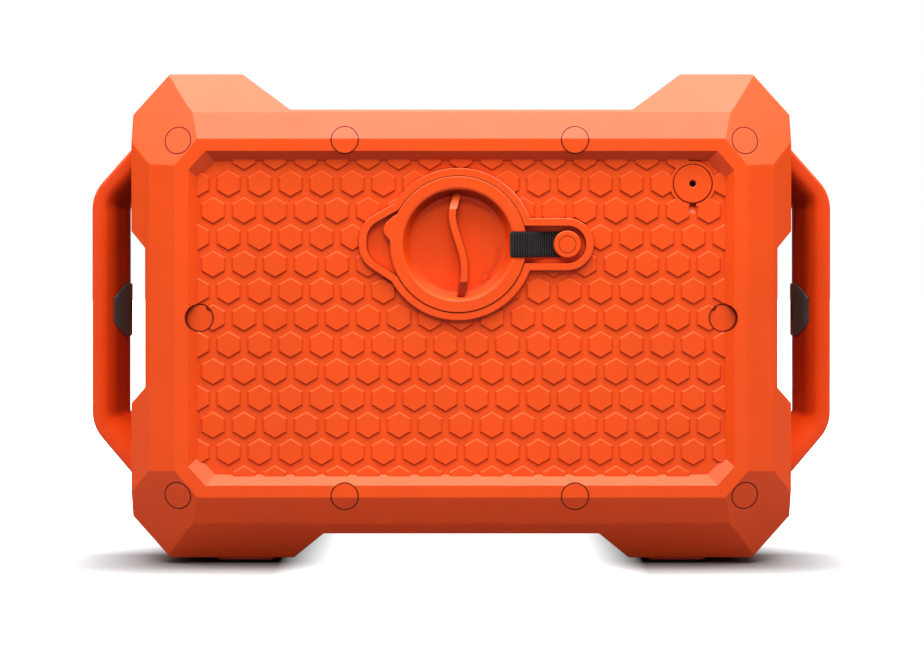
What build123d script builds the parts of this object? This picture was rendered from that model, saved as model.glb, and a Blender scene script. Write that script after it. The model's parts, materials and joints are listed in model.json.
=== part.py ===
from build123d import *
import os
from math import sin, cos, radians, sqrt, pi

# Rugged portable loudspeaker.  Millimetres.
# Row frame: +X across the width, -Y is the grille (front) side, +Y the port (back) side, +Z up.
# Origin: centre of the footprint, on the plane the feet stand on.
# Most features are given by (x, d, z): d is the depth behind the back rim plane,
# z the height above the rim centre.

# ---- driving dimensions ------------------------------------------------------
DEPTH = 222.0            # back rim plane to front rim plane
RIM_Z = 140.0            # height of the rim centre above the feet plane
RIM_W, RIM_H = 159.1, 99.7        # half width and half height of the rim's outer edge
BEV1_W, BEV1_H, BEV1_D = 174.7, 114.9, 9.0
SIDE_X, SIDE_D = 186.3, 23.0      # bumper side face, where the second side bevel ends
TOP_Z, BOT_Z, TB_D = 137.6, 136.5, 30.0
MID_X, MID_TOP, MID_BOT = 177.2, 116.5, 121.3
WALL = 3.5
EDGE_R = 1.7
SEAM_D = 70.0            # plane where the rear housing meets the main housing
FLOOR_D = 6.2            # depth of the recessed back panel
FRONT_D = 5.0            # depth of the front recess
SKIN_D = 8.5             # depth of the inner face behind the rims
TILE_P, TILE_ROW, TILE_AF, TILE_H = 17.28, 14.96, 13.46, 1.15
CAP_X, CAP_Z = 1.7, 41.0          # twist cap centre
CAP_R, WELL_R, CAP_TOP = 38.0, 30.55, 1.6
SUR_IN, SUR_W, SUR_TOP = 38.4, 4.2, 2.0
BUTTON_X = CAP_X - 60.8
PLUG_R, PLUG_GAP = 7.4, 0.35
VENT_X, VENT_Z, VENT_R = -129.0, 74.8, 10.8
HANDLE_X = 217.5
FOOT_X, FOOT_W, FOOT_D0, FOOT_D1 = 122.5, 33.0, 34.0, 64.0
STRAP_W, STRAP_T = 14.2, 1.2
GRILLE_P, GRILLE_AF = 17.28, 13.9
PANEL_W, PANEL_L, PANEL_Y = 160.0, 84.0, -35.0
KEY_TRAVEL = 1.2

YB = DEPTH / 2
C3 = (Align.CENTER, Align.CENTER, Align.MIN)
PARTS = {}


def P(x, d, z):
    return Vector(x, YB - d, z + RIM_Z)


def PL(d, x=0.0, z=0.0):
    # local x = X, local y = Z, local z = into the object from the back
    return Plane(origin=P(x, d, z), x_dir=(1, 0, 0), z_dir=(0, -1, 0))


def fdepth(e):
    return DEPTH - e


def slab(sk, d0, d1):
    return extrude(PL(d0) * sk, amount=d1 - d0, dir=(0, -1, 0))


def cyl(x, z, d0, d1, r):
    return PL(d0, x, z) * Cylinder(r, d1 - d0, align=C3)


def bx(x0, x1, d0, d1, z0, z1):
    lo, hi = P(x0, d1, z0), P(x1, d0, z1)
    return Pos(lo.X, lo.Y, lo.Z) * Box(hi.X - lo.X, hi.Y - lo.Y, hi.Z - lo.Z,
                                       align=(Align.MIN, Align.MIN, Align.MIN))


def face(pts):
    return make_face(Polyline(*[(float(a), float(b)) for a, b in pts], close=True))


def octagon(w, h, cx, cz):
    return [(w, -h + cz), (w, h - cz), (w - cx, h), (-w + cx, h),
            (-w, h - cz), (-w, -h + cz), (-w + cx, -h), (w - cx, -h)]


def offset_poly(pts, w):
    # moves every side of a counter-clockwise polygon inwards by w
    n, out = len(pts), []
    for i in range(n):
        a, b, c = pts[i - 1], pts[i], pts[(i + 1) % n]
        def line(p, q):
            dx, dy = q[0] - p[0], q[1] - p[1]
            L = sqrt(dx * dx + dy * dy)
            nx, ny = -dy / L, dx / L
            return nx, ny, nx * p[0] + ny * p[1] + w
        n1, n2 = line(a, b), line(b, c)
        det = n1[0] * n2[1] - n1[1] * n2[0]
        x = (n1[2] * n2[1] - n1[1] * n2[2]) / det
        y = (n1[0] * n2[2] - n1[2] * n2[0]) / det
        out.append((x, y))
    return out


def one(shape):
    # the single solid of a boolean result
    s = shape.solids()
    return s[0] if len(s) == 1 else shape


def try_fillet(shape, edges, r):
    for k in (1.0, 0.7, 0.45):
        try:
            out = fillet(edges, r * k)
            if out.is_valid:
                return out
        except Exception:
            pass
    return shape


def revolve_d(x, z, pts):
    # pts are (radius, depth) corners, revolved about the depth axis through (x, z)
    loc = Plane(origin=P(x, 0, z), x_dir=(1, 0, 0), z_dir=(0, 0, 1))
    f = make_face(Polyline(*[(float(r), -float(d)) for r, d in pts], close=True))
    return revolve(loc * f, Axis(P(x, 0, z), (0, 1, 0)), 360)


def save(name, *shapes):
    flat = []
    for s in shapes:
        flat += list(s.solids())
    PARTS[name] = flat


# ---- outer body --------------------------------------------------------------
OUTLINE = [(SIDE_X, -112.9), (SIDE_X, -48.5), (MID_X, -39.0), (MID_X, 39.0), (SIDE_X, 48.5),
           (SIDE_X, 114.6), (165.3, TOP_Z), (124.2, TOP_Z), (95.9, MID_TOP),
           (-95.9, MID_TOP), (-124.2, TOP_Z), (-165.3, TOP_Z), (-SIDE_X, 114.6),
           (-SIDE_X, 48.5), (-MID_X, 39.0), (-MID_X, -39.0), (-SIDE_X, -48.5), (-SIDE_X, -112.9),
           (-164.7, -BOT_Z), (-94.9, -BOT_Z), (-77.3, -MID_BOT), (77.3, -MID_BOT),
           (94.9, -BOT_Z), (164.7, -BOT_Z)]


def bevelled(pts, d0, d1, inset):
    # the outline extruded, then cut by every bevel plane of the back and the front
    s = slab(face(pts), d0, d1)
    centre = P(0, DEPTH / 2, 0)
    for back in (True, False):
        q = (lambda x, d, z: P(x, d, z)) if back else (lambda x, d, z: P(x, DEPTH - d, z))
        tri = []
        for sx in (1, -1):
            tri.append((q(sx * RIM_W, 0, -50), q(sx * RIM_W, 0, 50), q(sx * BEV1_W, BEV1_D, 0)))
            tri.append((q(sx * BEV1_W, BEV1_D, -50), q(sx * BEV1_W, BEV1_D, 50), q(sx * SIDE_X, SIDE_D, 0)))
            for sz in (1, -1):
                tri.append((q(sx * RIM_W, 0, sz * 85.0), q(sx * 146.7, 0, sz * RIM_H),
                            q(sx * BEV1_W, BEV1_D, sz * 85.7)))
                tri.append((q(sx * BEV1_W, BEV1_D, sz * 85.7), q(sx * 150.8, BEV1_D, sz * BEV1_H),
                            q(sx * SIDE_X, SIDE_D, sz * 99.0)))
        for sz, o in ((1, TOP_Z), (-1, BOT_Z)):
            tri.append((q(-50, 0, sz * RIM_H), q(50, 0, sz * RIM_H), q(0, BEV1_D, sz * BEV1_H)))
            tri.append((q(-50, BEV1_D, sz * BEV1_H), q(50, BEV1_D, sz * BEV1_H), q(0, TB_D, sz * o)))
        for a, b, c in tri:
            n = (b - a).cross(c - a).normalized()
            if (centre - a).dot(n) > 0:
                n = n * -1
            o = a - n * inset
            s = s - Plane(origin=o, z_dir=n) * Box(1200, 1200, 200, align=C3)
    return s


outer = bevelled(OUTLINE, 0, DEPTH, 0.0)
outer = outer.fillet(EDGE_R, outer.edges())
cavity = bevelled(offset_poly(OUTLINE, WALL), SKIN_D, DEPTH - SKIN_D, WALL)

# finger recess in each side of the main housing, behind the handle
def finger_recess(sx, grow=0.0):
    g = grow
    pts = [(166.0 - g, -52.0 - g * 0.6), (166.0 - g, 56.0 + g * 0.6), (190.0, 76.5 + g), (190.0, -71.5 - g)]
    f = face([(sx * a, b) for a, b in pts])
    return slab(f, 78.0 - g, 144.0 + g)


for sx in (1, -1):
    fr = finger_recess(sx)
    fr = try_fillet(fr, fr.edges(), 2.5)
    outer = outer - fr
    cavity = cavity - finger_recess(sx, WALL)

shell = outer - cavity
rear = shell & bx(-400, 400, -20, SEAM_D, -400, 400)
main = shell & bx(-400, 400, SEAM_D, DEPTH + 20, -400, 400)
seam = slab(face(OUTLINE), SEAM_D - 0.45, SEAM_D + 0.45) - slab(face(offset_poly(OUTLINE, 0.9)), SEAM_D - 1, SEAM_D + 1)
rear, main = rear - seam, main - seam
groove = slab(face(offset_poly(OUTLINE, 1.5)), SEAM_D - 0.8, SEAM_D + 0.8) - slab(face(offset_poly(OUTLINE, 2.6)), SEAM_D - 2, SEAM_D + 2)
rear, main = rear - groove, main - groove
save("housing_gasket", groove)

# ---- screws and their bosses ---------------------------------------------------
SCREWS = [(sx * 158.1, sz * 99.0, "corner") for sx in (1, -1) for sz in (1, -1)] + \
         [(sx * 64.0 + 0.8, sz * 99.1, "mid") for sx in (1, -1) for sz in (1, -1)] + \
         [(sx * 145.8, 0.0, "side") for sx in (1, -1)]
plugs, screws = [], []
for x, z, kind in SCREWS:
    rear = rear + (cyl(x, z, 4.0, SEAM_D, 10.5) & (outer & bx(-400, 400, 0, SEAM_D, -400, 400)))
    # boss in the main housing, tied to the wall by ribs
    boss = cyl(x, z, SEAM_D, SEAM_D + 24, 8.0)
    ox = 1 if x > 0 else -1
    oz = 1 if z > 0 else -1
    zt = (TOP_Z if oz > 0 else BOT_Z) if kind == "corner" else (MID_TOP if oz > 0 else MID_BOT)
    if kind != "mid":
        xe = SIDE_X - 1.5 if kind == "corner" else 164.5
        boss = boss + bx(min(x, ox * xe), max(x, ox * xe), SEAM_D + 1, SEAM_D + 24, z - 1.5, z + 1.5)
    if kind != "side":
        boss = boss + bx(x - 1.5, x + 1.5, SEAM_D + 1, SEAM_D + 24, min(z, oz * (zt - 1.5)), max(z, oz * (zt - 1.5)))
    main = main + boss

# ---- recessed back panel -------------------------------------------------------
rim_in = octagon(151.7, 93.0, 9.5, 10.6)
rim_floor = octagon(146.6, 87.3, 9.3, 9.7)
k = 1.0 / FLOOR_D
front_out = [(a + (a - b) / FRONT_D, c + (c - e) / FRONT_D) for (a, c), (b, e) in zip(rim_in, rim_floor)]
rim_out = [(a + (a - b) * k, c + (c - e) * k) for (a, c), (b, e) in zip(rim_in, rim_floor)]
recess = loft([PL(-1.0) * face(rim_out), PL(FLOOR_D) * face(rim_floor)], ruled=True)
rear = rear - recess
rim_edges = [e for e in rear.edges() if abs(e.center().Y - YB) < 1e-3 and
             all(abs(v.X) < 152.5 and abs(v.Z - RIM_Z) < 93.8 for v in e.vertices())]
rear = try_fillet(rear, rim_edges, 0.8)

# raised surround of the port cap: circle, thumb bulge towards +X, strap channel towards -X
bulge = [(33.1, 19.5), (50.8, 9.5), (51.5, -6.5), (33.3, -18.3)]
bul = face([(0, 24.0)] + bulge + [(0, -24.0)])
bul = fillet([v for v in bul.vertices() if v.X > 45], 11.5)
chan = Pos(-30.4, 0) * Rectangle(60.8, 21.0) + Pos(-60.8, 0) * Circle(10.5)
inner2 = Circle(SUR_IN) + bul + chan
conc = [v for v in inner2.vertices() if abs(sqrt(v.X ** 2 + v.Y ** 2) - SUR_IN) < 0.05]
try:
    inner2 = fillet(conc, 4.5)
except Exception:
    for v in conc:
        try:
            inner2 = fillet([w for w in inner2.vertices() if (w - v).length < 0.2], 4.0)
        except Exception:
            pass
outer2 = offset(inner2, SUR_W, kind=Kind.ARC)
cap_loc = Pos(CAP_X, CAP_Z)
sur = slab(cap_loc * outer2, SUR_TOP, 11.0)
sur = try_fillet(sur, [e for e in sur.edges() if abs(e.center().Y - (YB - SUR_TOP)) < 1e-3], 0.7)

# hexagon tiles
R0 = TILE_AF / sqrt(3)
tile_proto = loft([PL(FLOOR_D + 0.3) * RegularPolygon(R0 + 0.26, 6, rotation=30),
                   PL(FLOOR_D - TILE_H) * RegularPolygon(R0 - 0.95, 6, rotation=30)])
tiles = []
for j in range(-6, 7):
    z = j * TILE_ROW
    off = 0.2 + (0.0 if j % 2 == 0 else TILE_P / 2)
    for i in range(-10, 11):
        x = off + i * TILE_P
        if abs(x) > 146.6 + 6.2:
            continue
        rc = sqrt((x - CAP_X) ** 2 + (z - CAP_Z) ** 2)
        if rc < 32:
            continue
        if abs(z) > 80 and abs(x) > 131:
            continue
        tiles.append((x, z))
rear = rear + sur
# collar round the vent, flush with the tiles
rear = rear + cyl(VENT_X, VENT_Z, FLOOR_D - TILE_H, FLOOR_D + 1, 12.7) + cyl(VENT_X, VENT_Z, 8.0, 13.0, 14.0)
# backing pad, port tube
rear = rear + cyl(CAP_X, CAP_Z, 7.5, 29.5, 41.0)
rear = rear + cyl(BUTTON_X, CAP_Z, 8.0, 17.0, 8.0)

# cuts in the surround
cut2 = slab(cap_loc * inner2, -1.0, 7.5)
rear = rear - cut2 - cyl(CAP_X, CAP_Z, 7.0, 30.0, 35.0)
rear = rear - cyl(VENT_X, VENT_Z, -1.0, 9.4, VENT_R + 0.4) - cyl(VENT_X, VENT_Z, 9.0, 14.0, 2.5)
slot_w, slot_l = 3.9, 7.0
sl = Plane(origin=P(VENT_X, 0, VENT_Z), x_dir=(0, -1, 0), z_dir=(1, 0, 0))
# local y runs downwards, so the slope comes out below the vent
wedge = make_face(Polyline((0.0, 10.0), (9.2, 10.0), (9.2, 11.6), (FLOOR_D - 1.0, 17.9), (0.0, 17.9), close=True))
vent_slot = extrude(sl * wedge, amount=slot_w / 2, both=True)
rear = rear - vent_slot
rear = rear - cyl(BUTTON_X, CAP_Z, 5.0, 14.5, 2.5)

# plug pockets, counterbores and screw holes
for x, z, kind in SCREWS:
    if kind == "side":
        top = FLOOR_D
        cutter = cyl(x, z, -2.0, 27.0, PLUG_R + PLUG_GAP)
        body = cyl(x, z, top, top + 4.0, PLUG_R)
        notch = Plane(origin=P(x - (1 if x > 0 else -1) * 5.2, top, z + 5.4), x_dir=(1, 0, 0), z_dir=(0, -1, 0)) * Cylinder(1.7, 1.4, align=C3)
        body = body - notch
    else:
        cutter = cyl(x, z, -2.0, 27.0, PLUG_R + PLUG_GAP)
        body = (cyl(x, z, -2.0, 40.0, PLUG_R) & outer) & bx(-400, 400, -5, 14.0 if kind == "corner" else 13.0, -400, 400)
    body = body + cyl(x, z, 9.0, 18.0, 4.2)
    rear = rear - cutter - cyl(x, z, 26.0, SEAM_D + 1, 2.25)
    main = main - cyl(x, z, SEAM_D - 1, SEAM_D + 20, 2.03)
    plugs.append(one(body))
    screws.append(one(cyl(x, z, 24.0, 27.0, 3.9) + cyl(x, z, 26.5, SEAM_D + 18, 2.0)
                      - PL(24.0, x, z) * extrude(RegularPolygon(1.7, 6), amount=1.8)))
save("screw_plugs", *plugs)
save("housing_screws", *screws)

# board standoffs behind the back panel
BOARD_PTS = [(55.0, -67.0), (125.0, -67.0), (55.0, 57.0), (125.0, 57.0)]
for x, z in BOARD_PTS:
    rear = rear + cyl(x, z, 8.0, 38.4, 3.6) - cyl(x, z, 26.0, 39.0, 1.28)

# ---- feet ------------------------------------------------------------------------
feet = []
for sx in (1, -1):
    for d0, d1, tgt in ((FOOT_D0, FOOT_D1, "rear"), (DEPTH - FOOT_D1, DEPTH - FOOT_D0, "main")):
        f = RectangleRounded(FOOT_W, d1 - d0, 4.0)
        ctr = P(sx * FOOT_X, (d0 + d1) / 2, 0)
        boss = Pos(ctr.X, ctr.Y, RIM_Z - BOT_Z - 1.5) * extrude(f, amount=2.5)
        if tgt == "rear":
            rear = rear + boss
        else:
            main = main + boss
        pad = Pos(ctr.X, ctr.Y, 0) * extrude(RectangleRounded(FOOT_W - 2.0, d1 - d0 - 2.0, 3.5), amount=RIM_Z - BOT_Z - 1.5)
        pad = try_fillet(pad, pad.faces().sort_by(Axis.Z)[0].edges(), 0.8)
        feet.append(one(pad))
save("rubber_feet", *feet)

# ---- port cap ----------------------------------------------------------------------
cap = revolve_d(CAP_X, CAP_Z, [(0, 14.0), (WELL_R - 4.6, 14.0), (WELL_R - 3.6, 13.75), (WELL_R - 2.8, 13.1), (WELL_R - 2.3, 12.0), (WELL_R - 0.15, CAP_TOP + 3.4), (WELL_R, CAP_TOP + 1.4), (WELL_R + 0.42, CAP_TOP + 0.42),
                               (WELL_R + 1.4, CAP_TOP), (CAP_R - 0.5, CAP_TOP), (CAP_R, CAP_TOP + 0.5), (CAP_R, 7.0),
                               (34.5, 7.0), (34.5, 10.8), (32.7, 10.8), (32.7, 13.6), (34.5, 13.6),
                               (34.5, 17.4), (33.9, 18.0), (0, 18.0)])
lug_pts = []
for a, r in ((152.0, 37.0), (157.0, 39.6), (164.0, 42.2), (168.6, 42.5), (172.0, 41.6), (178.6, 37.0)):
    lug_pts.append((-r * cos(radians(a)), r * sin(radians(a))))
lug = face([(20.0, 6.0)] + lug_pts[::-1])
lug = slab(cap_loc * lug, CAP_TOP, 6.6) - cyl(CAP_X, CAP_Z, 0, 20, 34.0)
lug = try_fillet(lug, [e for e in lug.edges() if abs(e.center().Y - (YB - CAP_TOP)) < 1e-3 and
                       sqrt((e.center().X - CAP_X) ** 2 + (e.center().Z - RIM_Z - CAP_Z) ** 2) > 36], 0.4)
cap = cap + lug
spl = Spline((-0.1, 31.5), (0.5, 28.5), (2.1, 23.0), (3.3, 17.4), (2.9, 11.9), (1.4, 6.3), (-0.7, -0.3), (-2.1, -4.8),
             (-3.3, -11.4), (-3.4, -17.0), (-2.8, -22.6), (-1.4, -29.2), (-1.0, -31.5))
rib = slab(cap_loc * trace(spl, line_width=4.0), CAP_TOP, 14.5)
for sgn, z0 in ((1, 19.6), (-1, -20.8)):
    pl = Plane(origin=P(CAP_X, CAP_TOP, CAP_Z + z0), z_dir=Vector(0, 0.78, 0.62 * sgn).normalized())
    rib = rib - pl * Box(80, 80, 30, align=C3)
rib = try_fillet(rib, [e for e in rib.edges() if abs(e.center().Y - (YB - CAP_TOP)) < 0.02 and e.length > 8], 0.7)
cap = cap + (rib & cyl(CAP_X, CAP_Z, 0, 15, WELL_R + 0.5))
arc1 = trace(CenterArc((0, 0), 23.0, 185 - 0, 43), line_width=0.9)
arrow = face([(-12.6, -21.2), (-17.6, -18.6), (-14.0, -15.6)])
cap = cap + slab(cap_loc * (Pos(0, 0) * arc1), 13.6, 14.2) + slab(cap_loc * arrow, 13.6, 14.2)
save("port_cap", one(cap))
ring_pts = []
for i in range(24):
    a = 2 * pi * i / 24
    ring_pts.append((33.7 + 1.2 * cos(a), 12.2 + 1.2 * sin(a)))
oring = revolve_d(CAP_X, CAP_Z, ring_pts)
oring = oring - revolve_d(CAP_X, CAP_Z, [(30, 9), (32.7, 9), (32.7, 16), (30, 16)])
save("cap_o_ring", one(oring))

# strap: over the ring's edge, down to the button, and down the well's wall
def ribbon(path, t, w):
    # path: (x, d) points of the under side; the ribbon lies on its left
    up = []
    n = len(path)
    for i in range(n):
        a = path[max(i - 1, 0)]
        b = path[min(i + 1, n - 1)]
        dx, dd = b[0] - a[0], b[1] - a[1]
        L = sqrt(dx * dx + dd * dd)
        up.append((path[i][0] - dd / L * t, path[i][1] + dx / L * t))
    pl = Plane(origin=P(CAP_X, 0, CAP_Z), x_dir=(1, 0, 0), z_dir=(0, 0, 1))
    f = make_face(Polyline(*[(x, -d) for x, d in path + up[::-1]], close=True))
    return extrude(pl * f, amount=w / 2, both=True)


strap_path = [(-29.4, 4.3), (-29.4, 3.0), (-29.95, 2.05), (-31.2, 1.55), (-37.6, 1.55), (-39.2, 1.9), (-45.5, 5.9),
              (-47.2, 6.5), (-64.1, 6.5)]
strap = ribbon(strap_path, STRAP_T, STRAP_W)
strap = strap - cyl(BUTTON_X, CAP_Z, 0, 10, 2.6)
save("tether_strap", one(strap))
rear = rear + (cyl(BUTTON_X, CAP_Z, 6.55, 8.0, 7.7) - cyl(BUTTON_X, CAP_Z, 5.0, 14.5, 2.5))
btn = revolve_d(BUTTON_X, CAP_Z, [(0, 2.4), (7.0, 2.4), (7.7, 3.1), (7.7, 5.05), (2.45, 5.05), (2.45, 14.0), (0, 14.0)])
btn = btn - (cyl(BUTTON_X, CAP_Z, 2.0, 2.75, 4.95) - cyl(BUTTON_X, CAP_Z, 1.0, 4.0, 4.5))
save("tether_button", one(btn))

# ---- ports in the bay -----------------------------------------------------------------
panel = cyl(CAP_X, CAP_Z, 29.5, 32.5, 40.5)
MIC, AUX, USB, DC = (13.5, 11.5), (-13.5, 12.0), (-10.0, -12.5), (14.5, -13.5)
for (px, pz), r in ((MIC, 6.05), (AUX, 4.05), (DC, 5.55)):
    panel = panel - cyl(CAP_X + px, CAP_Z + pz, 29, 33, r)
ux, uz = CAP_X + USB[0], CAP_Z + USB[1]
panel = panel - bx(ux - 7.1, ux + 7.1, 29, 33, uz - 3.4, uz + 3.4)
pscrew = []
for a in (45, 135, 225, 315):
    x, z = CAP_X + 38.0 * cos(radians(a)), CAP_Z + 38.0 * sin(radians(a))
    panel = panel - cyl(x, z, 29, 33, 1.7)
    rear = rear - cyl(x, z, 19, 30, 1.53)
    pscrew.append(one(cyl(x, z, 32.5, 34.3, 2.45) + cyl(x, z, 21, 33, 1.5)))
save("port_panel", one(panel))


def jack(c, r_out, r_in, w, h, depth, pin=0.0):
    x, z = CAP_X + c[0], CAP_Z + c[1]
    s = cyl(x, z, 27.6, 34.0, r_out) + bx(x - w / 2, x + w / 2, 32.5, 32.5 + depth, z - h / 2, z + h / 2)
    s = s - cyl(x, z, 27.0, 27.6 + 14.0, r_in)
    if pin:
        s = s + cyl(x, z, 29.0, 34.0 + 9.0, pin)
    return one(s)


save("mic_jack", jack(MIC, 6.0, 3.2, 16.0, 15.0, 13.5))
save("aux_jack", jack(AUX, 4.0, 1.78, 12.0, 12.0, 13.5))
save("dc_jack", jack(DC, 5.5, 2.8, 14.0, 13.0, 13.5, pin=1.0))
usb = bx(ux - 7.0, ux + 7.0, 28.6, 46.0, uz - 3.3, uz + 3.3) - bx(ux - 6.3, ux + 6.3, 28.0, 40.0, uz - 2.6, uz + 2.6)
usb = usb + bx(ux - 5.6, ux + 5.6, 29.6, 41.0, uz - 1.9, uz - 0.5)
save("usb_port", one(usb))
pb = bx(CAP_X - 30, CAP_X + 30, 46.0, 47.6, CAP_Z - 27, CAP_Z + 27)
save("port_board", one(pb))

# ---- vent ---------------------------------------------------------------------------------
vt = FLOOR_D - TILE_H
vent = revolve_d(VENT_X, VENT_Z, [(1.85, vt + 0.4), (2.3, vt), (VENT_R - 0.5, vt), (VENT_R, vt + 0.5), (VENT_R, 9.2), (1.85, 9.2)])
save("vent_plug", one(vent))
save("vent_membrane", cyl(VENT_X, VENT_Z, 9.2, 9.4, 6.0))

# ---- front: recess, ledge, baffle, grille -----------------------------------------------------
F = DEPTH
frecess = loft([PL(F + 1.0) * face(front_out), PL(F - FRONT_D) * face(rim_floor)], ruled=True)
main = main - frecess
well = octagon(146.6, 87.3, 9.3, 9.7)
main = main + (slab(face(octagon(152.0, 92.6, 10.5, 11.0)), F - 29.0, F - 6.0) & outer)
main = main - slab(face(well), F - 26.0, F + 1)
main = main - slab(face(octagon(136.0, 77.0, 6.0, 6.0)), F - 32.0, F - 20.0)
rim_edges = [e for e in main.edges() if abs(e.center().Y + YB) < 1e-3 and
             all(abs(v.X) < 152.5 and abs(v.Z - RIM_Z) < 93.8 for v in e.vertices())]
main = try_fillet(main, rim_edges, 0.8)
BSCREWS = [(sx * 139.2, sz * 52.0) for sx in (1, -1) for sz in (1, -1)] + [(x, sz * 80.2) for x in (-112.0, 36.0) for sz in (1, -1)]
gap_out = octagon(146.4, 87.1, 9.2, 9.6)
baffle = slab(face(gap_out), F - 26.0, F - 18.0)
baffle = baffle + (slab(face(gap_out), F - 19.0, F - 6.2) - slab(face(octagon(143.4, 84.1, 8.0, 8.4)), F - 20, F - 5))
W_X, W_Z, T_X, T_Z = -55.0, 0.0, 88.0, 42.0
bs = []
for x, z in BSCREWS:
    baffle = baffle - cyl(x, z, F - 30, F - 10, 1.8)
    main = main + cyl(x, z, F - 40.0, F - 26.0, 4.6)
    main = main - cyl(x, z, F - 38.5, F - 20.0, 1.53)
    bs.append(one(cyl(x, z, F - 18.0, F - 15.6, 3.2) + cyl(x, z, F - 37.0, F - 17.0, 1.5)))
for x, z, r in ((W_X, W_Z, 72.0), (T_X, T_Z, 30.0), (T_X, -T_Z, 35.5)):
    baffle = baffle - cyl(x, z, F - 30, F - 10, r)

# grille: perforated sheet, made as one face with its holes
gout = octagon(146.3, 87.0, 9.1, 9.5)
holes = []
hr = GRILLE_AF / sqrt(3)
rowp = GRILLE_P * sqrt(3) / 2
for j in range(-5, 6):
    z = j * rowp
    for i in range(-9, 10):
        x = i * GRILLE_P + (GRILLE_P / 2 if j % 2 else 0.0)
        if abs(x) > 133.0 or abs(z) > 76 or abs(x) / 133.0 + abs(z) / 76.0 > 1.93:
            continue
        holes.append(Pos(x, z) * RegularPolygon(hr, 6, rotation=30))
gwire = face(gout).faces()[0].outer_wire()
gface = Face(gwire, [h.faces()[0].outer_wire() for h in holes])
grille = extrude(PL(F - 6.2) * gface, amount=1.2, dir=(0, -1, 0))
save("grille", grille)


def eprof(pts):
    return [(r, F - e) for r, e in pts]


# woofer: profile numbers are (radius, depth behind the front rim)
basket = revolve_d(W_X, W_Z, eprof([(70.2, 13), (83, 13), (83, 17), (71.5, 17), (71.5, 19), (46.0, 47.0), (46.0, 52.0),
                                    (46.0, 55.0), (21.0, 55.0), (21.0, 52.0), (42.5, 52.0), (42.5, 48.2), (37.5, 48.2), (37.5, 46.6),
                                    (42.6, 46.6), (68.6, 18.4), (70.2, 18.4)]))
for a in range(6):
    w = Plane(origin=P(W_X, F - 33.0, W_Z), x_dir=(1, 0, 0), z_dir=(0, -1, 0)) * Rot(0, 0, a * 60 + 30)
    win = w * Pos(60, 0, 0) * Box(34, 34, 17)
    basket = basket - win
flange_holes = [(W_X + 77.0 * cos(radians(a)), W_Z + 77.0 * sin(radians(a))) for a in (22.5, 67.5, 112.5, 157.5, 202.5, 247.5, 292.5, 337.5)]
small = [(T_X + 38.7 * cos(radians(a)), sz * T_Z + 38.7 * sin(radians(a))) for sz in (1, -1) for a in (45, 135, 225, 315)]
ds = []
for x, z in flange_holes:
    basket = basket - cyl(x, z, F - 20, F - 10, 2.1)
wgask = cyl(W_X, W_Z, F - 18, F - 17, 82.5) - cyl(W_X, W_Z, F - 19, F - 10, 72.5)
for x, z in flange_holes:
    wgask = wgask - cyl(x, z, F - 20, F - 10, 2.1)
    baffle = baffle - cyl(x, z, F - 25.5, F - 10, 1.78)
    ds.append(one(cyl(x, z, F - 13.0, F - 10.8, 3.4) + cyl(x, z, F - 24.5, F - 12.5, 1.75)))
for x, z in small:
    baffle = baffle - cyl(x, z, F - 25.5, F - 10, 1.28)
    ds.append(one(cyl(x, z, F - 14.0, F - 12.2, 2.1) + cyl(x, z, F - 24.5, F - 13.5, 1.25)))
save("front_screws", *(bs + ds))
save("woofer_basket", one(basket))
save("woofer_gasket", one(wgask))
save("woofer_top_plate", revolve_d(W_X, W_Z, eprof([(19.4, 55), (45, 55), (45, 62), (19.4, 62)])))
save("woofer_magnet", revolve_d(W_X, W_Z, eprof([(26, 62), (49, 62), (50, 63), (50, 79), (49, 80), (26, 80)])))
save("woofer_yoke", revolve_d(W_X, W_Z, eprof([(5, 56), (17.9, 56), (17.9, 80), (47, 80), (48, 81), (48, 86), (47, 87), (5, 87)])))
cone = revolve_d(W_X, W_Z, eprof([(18.2, 43.0), (19.4, 43.4), (24.0, 36.0), (34.0, 26.5), (46.0, 18.5), (57.5, 13.0), (61.0, 13.0), (61.0, 14.0),
                                  (58.0, 14.0), (46.6, 19.4), (34.6, 27.5), (24.8, 36.8), (19.9, 44.6), (19.9, 45.6), (18.2, 45.6)]))
save("woofer_cone", one(cone))
dome_o = []
for i in range(9):
    a = radians(90 * i / 8)
    dome_o.append((26.5 * sin(a) if i else 0.0, 33.8 - 9.0 * cos(a)))
dust = dome_o + [(26.5, 34.4)]
for i in range(8, -1, -1):
    a = radians(90 * i / 8)
    dust.append((25.7 * sin(a) if i else 0.0, 34.4 - 8.6 * cos(a)))
# the dust cap stands just clear of the cone's face
cap_d = revolve_d(W_X, W_Z, eprof([(r * 0.86, e - 3.4) for r, e in dust]))
save("woofer_dust_cap", one(cap_d))
save("woofer_voice_coil", one(revolve_d(W_X, W_Z, eprof([(18.25, 45.6), (18.95, 45.6), (18.95, 66.0), (18.25, 66.0)]))))


def half_roll(r0, r1, e_lip, h, t, lip):
    # lips at both sides and an arched roll between them
    rm, rr = (r0 + r1) / 2, (r1 - r0) / 2
    top = []
    for i in range(13):
        a = pi - pi * i / 12
        top.append((rm + rr * cos(a), e_lip - h * sin(a)))
    pts = [(r0 - lip, e_lip)] + top + [(r1 + lip, e_lip), (r1 + lip, e_lip + t)]
    back = [(rm + (rr - t) * cos(pi * i / 12), e_lip + t - (h - 0.0) * sin(pi * i / 12) * ((h - t) / h)) for i in range(0, 13)]
    pts += back + [(r0 - lip, e_lip + t)]
    return pts


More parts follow.
